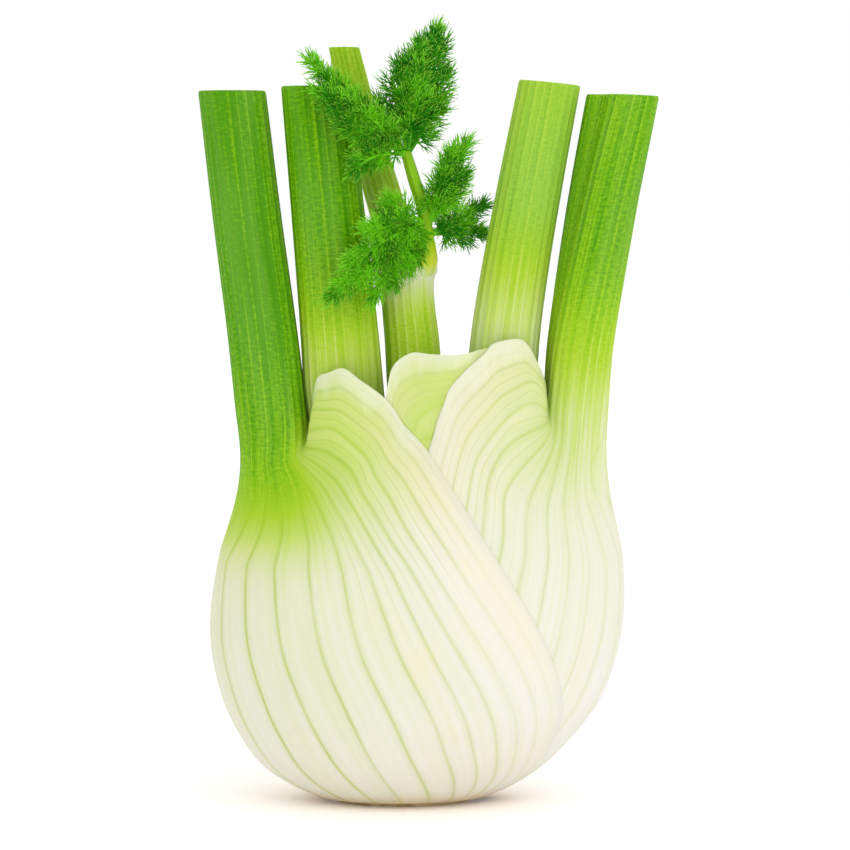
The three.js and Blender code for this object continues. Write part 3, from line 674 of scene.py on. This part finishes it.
def buildCentre(paint):
    rows = np.array(centre["rows"], float)
    stalkFoot, cutHeight = rows[0, 0], rows[-1, 0]
    columns = centre["ribs"] * centre["columns"]
    turn = (np.arange(columns) * 2 * math.pi / columns)[None, :]
    ribs = np.arange(columns)[None, :] / centre["columns"]
    zHeart = np.linspace(centre["foot"], centre["heartTop"], 30)[:, None]
    zStalk = np.concatenate([np.linspace(*part) for part in centre["stalkRows"]])[:, None]
    across, deep = track(rows[:, [0, 3]]), track(rows[:, [0, 4]])
    middleX, middleY = track(rows[:, [0, 1]]), track(rows[:, [0, 2]])
    rise = centre["ribRise"] * ridge(ribs, centre["ribWidth"])
    underX, underY = depthUnder(len(leaves), turn, zHeart)
    heart = bulbPoint(turn, zHeart, underX + centre["room"], underY + centre["room"])
    first = rows[0]
    foot = np.stack(np.broadcast_arrays(
        first[1] + first[3] * np.cos(turn), first[2] + first[4] * np.sin(turn), zHeart), -1)
    heart = lerp(heart, foot, smooth(zHeart, *centre["narrowing"])[..., None])
    stalk = np.stack(np.broadcast_arrays(
        middleX(zStalk) + (across(zStalk) + rise) * np.cos(turn),
        middleY(zStalk) + (deep(zStalk) + rise) * np.sin(turn), zStalk), -1)
    cap = capRings(stalk[-1], cutSizes, centre["cutDrop"])
    points = np.concatenate([heart, stalk, cap])
    z = np.concatenate([zHeart, zStalk, 0 * np.array(cutSizes)[:, None] + cutHeight])
    zAll = np.repeat(z, columns, 1)
    ribsAll = np.repeat(ribs, len(points), 0)
    pith = np.concatenate([0 * zHeart, 0 * zStalk, 1 - np.array(cutSizes)[:, None]])
    faces = gridFaces(len(points), columns)
    faces.append(list(range(columns))[::-1])
    piece = addPiece("leaf_centre_skin", points.reshape(-1, 3), faces, paint, {
        "ribs": ribsAll, "ribPitch": ringPitch(points, ribsAll),
        "along": 1 + (zAll - stalkFoot) / centre["paintLength"],
        "phase": 0 * zAll, "pitch": 1 + 0 * zAll, "edge": 0 * zAll, "lines": 0 * zAll, "fine": 0 * zAll,
        "bloom": 0 * zAll,
        "green": np.clip(track(centre["greening"])(zAll), 0, 1), "pith": np.repeat(pith, columns, 1),
    })
    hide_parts(centre["node"])


buildCentre(leafPaint)
print("middle leaf built")


# the trimmed stem under the leaves

root = {
    "node": "root_plate", "sides": 72, "deeper": 1.1, "unevenness": 0.015,
    "profile": [  # z in mm, share of the bulb's half width
        (0, 0.335), (0.25, 0.345), (1.2, 0.35), (2.4, 0.29), (5, 0.24), (9, 0.14), (13, 0.07)],
    "flesh": tint(214, 196, 150), "rim": tint(156, 126, 78), "rings": tint(186, 160, 108),
    "roughness": 0.8, "bump": (0.4, 0.0005),
}


def rootPaint():
    paint = Paint("trimmedRoot")
    place = paint.place()
    grain = paint.noise(place, 260.0, 5)
    patches = paint.noise(place, 60.0, 3)
    colour = paint.mix(grain.ease(0.4, 0.65), root["flesh"], root["rings"])
    colour = paint.mix(patches.ease(0.5, 0.7) * 0.6, colour, root["rim"])
    return paint.finish({
        "Base Color": colour, "Roughness": root["roughness"], "Normal": paint.bump(grain, *root["bump"])})


def buildRoot(paint):
    turn = (np.arange(root["sides"]) * 2 * math.pi / root["sides"])[None, :]
    z, share = np.array(root["profile"], float).T[:, :, None]
    wave = 1 + root["unevenness"] * ripple(5 * turn, 9 * turn, 14 * turn) * (z > 0.1)
    x = centreLine(z) + share * bulb["width"] / 2 * np.cos(turn) * wave
    y = share * bulb["depth"] / 2 * root["deeper"] * np.sin(turn) * wave
    points = np.stack(np.broadcast_arrays(x, y, z), -1)
    faces = gridFaces(len(points), root["sides"])
    faces.append(list(range(root["sides"]))[::-1])
    faces.append(list(range((len(points) - 1) * root["sides"], len(points) * root["sides"])))
    piece = addPiece("root_plate_cut", points.reshape(-1, 3), faces, paint, {})
    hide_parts(root["node"])


buildRoot(rootPaint())
print("root built")


# the young leaf: its stem and its feathery sprays

youngStem = {
    "node": "young_leaf_stem", "ribs": 7, "columns": 6, "ribRise": 0.05,  # columns to each rib, share
    "line": [  # z, x, y, half width
        (124, 4, 1.2, 2.2), (127, 4.9, 0.6, 2.9), (129.6, 5.6, 0.2, 2.8), (132.4, 6, -0.4, 2.1),
        (136, 5.8, -1.2, 1.6), (142, 5, -2.4, 1.6), (148.5, 3, -3.2, 1.55), (155.6, 0.9, -3.8, 1.3)],
    "tones": [(0.05, tint(212, 230, 144)), (0.16, tint(208, 220, 52)), (0.26, tint(176, 207, 20)),
              (0.5, tint(142, 196, 18))],
    "roughness": 0.45, "sheen": 0.2, "bump": (0.15, 0.0003), "gloss": 0.15,
    "glow": 0.15, "glowSpread": (0.6, 1, 0.3), "glowDepth": 0.002,
}
# freshAndLit moves a whole spray's green toward the fresh end above zero and toward the deep end below:
# painted light and shade on each spray
sprays = [  # each lobe bends out from the start: its bend and its tip; reach: length of the twigs
    {"node": "frond_crown", "start": (1.2, -3.8, 154.6), "seed": 1, "freshAndLit": -0.3, "reach": 0.9, "lobes": [
        ((2.6, -6, 169), (7.4, -3, 183)), ((0.6, -8, 170), (3.8, -6, 179.4)),
        ((-0.8, -7, 166), (-1, -6, 174.6)), ((6, -3, 164), (9.6, -2, 172.6)),
        ((-2.4, -4, 160), (-4.6, -4, 165.6)), ((5, -4.5, 160), (8.2, -4.5, 166)),
        ((3, -8, 163), (3.6, -8, 173)), ((4.4, 0, 168), (9, 0, 180))]},
    {"node": "frond_left_high", "start": (1, -3.8, 154.6), "seed": 2, "freshAndLit": -0.1, "reach": 0.85, "lobes": [
        ((-9, -15, 163), (-20, -15, 175.4)), ((-9, -16, 161), (-18, -17, 168.6)),
        ((-6, -13, 159), (-12, -16, 160.6)), ((-5, -12, 156), (-9.6, -15, 152.4)),
        ((-4, -14, 161), (-11, -16, 166.4))]},
    {"node": "frond_left_low", "start": (5.4, -2.2, 139), "seed": 3, "freshAndLit": 0.1, "reach": 0.9, "lobes": [
        ((-2, -15, 134), (-15, -16, 122.6)), ((-1, -14, 136.6), (-11, -17, 130)),
        ((-1.6, -11, 133), (-5.8, -14, 122.4)), ((0.8, -9, 134), (-1.8, -11, 126)),
        ((0, -8, 141), (-2.2, -10, 143)), ((-1, -13, 138), (-6.6, -15, 137)),
        ((2.8, -6.5, 136), (1.8, -8, 129.6))]},
    {"node": "frond_right_high", "start": (6, -1.8, 138), "seed": 4, "freshAndLit": -0.12, "reach": 0.6, "lobes": [
        ((9.6, -5, 146), (14.4, -5, 156.2)), ((9, -5, 148), (11.6, -5, 154.4)),
        ((10.6, -4, 144), (14.2, -4, 149.6)), ((9, -3, 141), (11.6, -4, 144.4))]},
    {"node": "frond_right_low", "start": (6.2, -1.2, 136), "seed": 5, "freshAndLit": -0.3, "reach": 0.7, "lobes": [
        ((12, 5, 139), (18.4, 9.6, 142)), ((12, 5, 136), (18, 8.6, 136.4)),
        ((10, 1, 137), (13.4, 2, 138.4))]},
]
thread = {
    "twigGap": 0.9, "twig": 3.1, "subs": 5, "sub": 2, "threads": 5, "length": 1.7,  # mm, and how many
    "axisThick": 0.5, "twigThick": 0.26, "subThick": 0.19, "thick": 0.16, "tip": 0.09,  # mm each way
    "bare": 0.16, "curl": 0.22,  # share of a lobe without twigs, and how far a shoot bends onward
    "leastTwig": 0.55, "leanSpread": (0.8, 1.2), "lengthSpread": (0.75, 1.15), "tipLean": 0.85,  # shares
    "deep": tint(30, 130, 8), "freshAndLit": tint(116, 210, 22), "end": tint(168, 230, 70), "selfGlow": 0.08,
    "roughness": 0.5, "sheen": 0.2, "gloss": 0.15,
    "glow": 0.1, "glowSpread": (0.4, 1, 0.2), "glowDepth": 0.001,
}


def stemPaint():
    paint = Paint("youngStem")
    up = paint.measure("up")
    grain = paint.noise(paint.vector(paint.measure("round") * 9, up * 5, 0), 1.0, 3)
    colour = paint.ramp(up + (grain - 0.5) * 0.16, youngStem["tones"])
    return paint.finish({
        "Base Color": colour, "Roughness": (grain - 0.5) * youngStem["sheen"] + youngStem["roughness"],
        "Normal": paint.bump(grain, *youngStem["bump"]), "Specular IOR Level": youngStem["gloss"],
        "Subsurface Weight": youngStem["glow"], "Subsurface Radius": youngStem["glowSpread"],
        "Subsurface Scale": youngStem["glowDepth"]})


def featherPaint():
    paint = Paint("feathers")
    young, tip = paint.measure("young"), paint.measure("tip")
    grain = paint.noise(paint.place(), 400.0, 2)
    # broad patches of lighter and darker green: partly the sprays' own tone, partly painted shade in their
    # depths
    patches = paint.noise(paint.place(), 150.0, 2).ease(0.36, 0.64)
    # how fresh each thread is, plus its spray's painted light and shade
    freshAndLitMix = (young + (grain - 0.5) * 0.5 + (patches - 0.4) * 0.7).ease(-0.2, 1.0)
    colour = paint.mix(freshAndLitMix, thread["deep"], thread["freshAndLit"])
    colour = paint.mix(tip.ease(0.55, 1.0) * 0.5, colour, thread["end"])
    return paint.finish({
        "Base Color": colour, "Roughness": (grain - 0.5) * thread["sheen"] + thread["roughness"],
        "Specular IOR Level": thread["gloss"],
        # the threads glow faintly in their own colour: a painted glow for the light that shines through them
        "Emission Color": colour, "Emission Strength": thread["selfGlow"],
        "Subsurface Weight": thread["glow"], "Subsurface Radius": thread["glowSpread"],
        "Subsurface Scale": thread["glowDepth"]})


def buildStem(paint):
    rows = np.array(youngStem["line"], float)
    columns = youngStem["ribs"] * youngStem["columns"]
    z = np.linspace(rows[0, 0], rows[-1, 0], 60)[:, None]
    up = (z - z[0]) / (z[-1] - z[0])
    turn = (np.arange(columns) * 2 * math.pi / columns)[None, :]
    thick = track(rows[:, [0, 3]])(z) * (1 + youngStem["ribRise"] * np.cos(youngStem["ribs"] * turn))
    x = track(rows[:, [0, 1]])(z) + thick * np.cos(turn)
    y = track(rows[:, [0, 2]])(z) + thick * np.sin(turn)
    points = np.stack(np.broadcast_arrays(x, y, z), -1)
    faces = gridFaces(len(points), columns)
    faces.append(list(range(columns))[::-1])
    faces.append(list(range((len(points) - 1) * columns, len(points) * columns)))
    piece = addPiece("young_leaf_stem_skin", points.reshape(-1, 3), faces, paint, {
        "up": np.repeat(up, columns, 1), "round": np.repeat(np.cos(turn), len(points), 0)})
    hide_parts(youngStem["node"])


def unit(v):
    return v / (np.linalg.norm(v, axis=-1, keepdims=True) + 1e-12)


def shoots(parents, share, form, draw):  # paths that stand off each parent path, at shares of its length
    count, steps, _ = parents.shape
    spot = share * (steps - 1)
    low = np.minimum(spot.astype(int), steps - 2)
    start = lerp(parents[:, low], parents[:, low + 1], (spot - low)[None, :, None])
    ahead = unit(parents[:, low + 1] - parents[:, low])
    aside = unit(np.cross(np.broadcast_to([0.0, -1, 0], ahead.shape), ahead))
    front = np.cross(ahead, aside)
    number = np.arange(count)[:, None] * len(share) + np.arange(len(share))[None, :]
    turn = number * (math.pi if form["flat"] else goldenAngle) + draw.normal(0, form["roll"], number.shape)
    lean = np.radians(form["lean"]) * (1 - thread["tipLean"] * share ** 4)[None, :]
    lean = (lean * draw.uniform(*thread["leanSpread"], number.shape))[..., None]
    around = aside * np.cos(turn)[..., None] + front * (np.sin(turn)[..., None] + form["front"])
    out = unit(ahead * np.cos(lean) + around * np.sin(lean))
    length = form["length"] * draw.uniform(*thread["lengthSpread"], number.shape)[..., None, None]
    t = np.linspace(0, 1, form["steps"])[:, None]
    bend = out[..., None, :] * t + ahead[..., None, :] * thread["curl"] * t * t
    path = start[..., None, :] + bend * length
    return path.reshape(-1, form["steps"], 3)


def lobeAxis(start, bend, tip):
    t = np.linspace(0, 1, 16)[:, None]
    a, b, c = (np.array(point, float) for point in (start, bend, tip))
    return a * (1 - t) ** 2 + b * 2 * t * (1 - t) + c * t * t


def buildSpray(spray, paint):
    draw = np.random.default_rng(spray["seed"])
    axes = np.array([lobeAxis(spray["start"], bend, tip) for bend, tip in spray["lobes"]])
    twigs = []
    for axis in axes:
        count = int(np.linalg.norm(axis[-1] - axis[0]) / thread["twigGap"])
        place = thread["bare"] + (1 - thread["bare"]) * np.arange(1, count + 1) / count
        swell = lerp(thread["leastTwig"], 1, np.sin(math.pi * place))
        long = spray["reach"] * thread["twig"] * swell[None, :, None, None]
        twigs.append(shoots(axis[None], place, {
            "flat": True, "roll": 0.8, "lean": 60, "front": 0.1, "length": long, "steps": 6}, draw))
    twigs = np.concatenate(twigs)
    subs = shoots(twigs, np.linspace(0.25, 1, thread["subs"]), {
        "flat": True, "roll": 0.9, "lean": 52, "front": 0, "length": thread["sub"], "steps": 4}, draw)
    fine = shoots(subs, np.linspace(0.3, 1, thread["threads"]), {
        "flat": False, "roll": 0.3, "lean": 40, "front": 0, "length": thread["length"], "steps": 4}, draw)
    points, faces, young, tip = [], [], [], []
    first = 0
    # each size of branch tapers from one thickness to the next; only the threads vary in freshness
    for paths, thick, thin, sides, tone in (
            (axes, "axisThick", "twigThick", 8, 0.8), (twigs, "twigThick", "subThick", 5, 0.6),
            (subs, "subThick", "thick", 4, 0.45), (fine, "thick", "tip", 3, 0)):
        steps = paths.shape[1]
        radii = np.repeat(lerp(thread[thick], thread[thin], np.linspace(0, 1, steps))[None], len(paths), 0)
        made, quads = tubes(paths, radii, sides, first)
        first += len(made)
        points.append(made)
        faces += quads
        young.append(np.repeat(tone + draw.uniform(0, 0.7, len(paths)) * (tone == 0), steps * sides))
        tip.append(np.tile(np.repeat(np.linspace(0, 1, steps), sides) * (tone == 0), len(paths)))
    # each spray's painted light and shade goes into the tone of all its branches and threads
    piece = addPiece(spray["node"] + "_threads", np.concatenate(points), faces, paint, {
        "young": np.concatenate(young) + spray["freshAndLit"], "tip": np.concatenate(tip)})
    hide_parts(spray["node"])


buildStem(stemPaint())
featherSkin = featherPaint()
for spray in sprays:
    buildSpray(spray, featherSkin)
print("young leaf built")


# floor, light and camera

stage = {
    "floor": (1, 1, 1, 1), "warmShadow": (1, 0.87, 0.8, 1), "warmShadowReach": 0.08, "warmShare": 0.5,
    "floorRoughness": 0.9, "floorGloss": 0.1, "selfGlow": 0.11, "sky": 1.0,
    "lights": [  # name, where, size and power: metres and watts
        ("key", (0.3, -0.65, 0.5), 0.8, 1.8)],
    "floorReach": 6, "aim": (0.0055, 0, 0.0902), "distance": 0.9, "frameWidth": 0.204,  # metres
    "height": 3.0, "sensor": 36,  # degrees above level, mm
}


def buildStage():
    paint = Paint("paleFloor")
    away = paint.node("ShaderNodeVectorMath", {"operation": "LENGTH"}, {0: paint.place()}, "Value")
    # a warm tint painted on the floor round the bulb's foot: the painted colour of its shadow
    warm = away.ease(stage["warmShadowReach"], 0) * stage["warmShare"]
    colour = paint.mix(warm, stage["floor"], stage["warmShadow"])
    # the floor glows faintly in the warm shadow tint, which lightens and warms the shadows on it and lights
    # the bulb from below
    paint.finish({
        "Base Color": colour, "Roughness": stage["floorRoughness"], "Specular IOR Level": stage["floorGloss"],
        "Emission Color": stage["warmShadow"], "Emission Strength": stage["selfGlow"]})
    mesh = bpy.data.meshes.new("floor")
    far = stage["floorReach"]
    mesh.from_pydata([(-far, -far, 0), (far, -far, 0), (far, far, 0), (-far, far, 0)], [], [(0, 1, 2, 3)])
    mesh.materials.append(paint.material)
    floor = bpy.data.objects.new("floor", mesh)
    bpy.context.scene.collection.objects.link(floor)
    world = bpy.data.worlds.new("studio")
    world.use_nodes = True
    world.node_tree.nodes["Background"].inputs["Color"].default_value = (1, 1, 1, 1)
    world.node_tree.nodes["Background"].inputs["Strength"].default_value = stage["sky"]
    bpy.context.scene.world = world
    for name, where, size, power in stage["lights"]:
        lamp = bpy.data.lights.new(name, "AREA")
        lamp.size = size
        lamp.energy = power
        holder = bpy.data.objects.new(name, lamp)
        holder.location = where
        holder.rotation_mode = "QUATERNION"
        holder.rotation_quaternion = (Vector(stage["aim"]) - Vector(where)).to_track_quat("-Z", "Y")
        bpy.context.scene.collection.objects.link(holder)
    bpy.context.scene.view_settings.view_transform = "Standard"


def buildCamera():
    data = bpy.data.cameras.new("camera")
    data.sensor_width = stage["sensor"]
    data.lens = stage["sensor"] * stage["distance"] / stage["frameWidth"]
    camera = bpy.data.objects.new("camera", data)
    tilt = math.radians(stage["height"])
    back = Vector((0, -math.cos(tilt), math.sin(tilt)))
    camera.location = Vector(stage["aim"]) + back * stage["distance"]
    camera.rotation_mode = "QUATERNION"
    camera.rotation_quaternion = (-back).to_track_quat("-Z", "Y")
    bpy.context.scene.collection.objects.link(camera)
    bpy.context.scene.camera = camera


buildStage()
buildCamera()
print("stage and camera set")
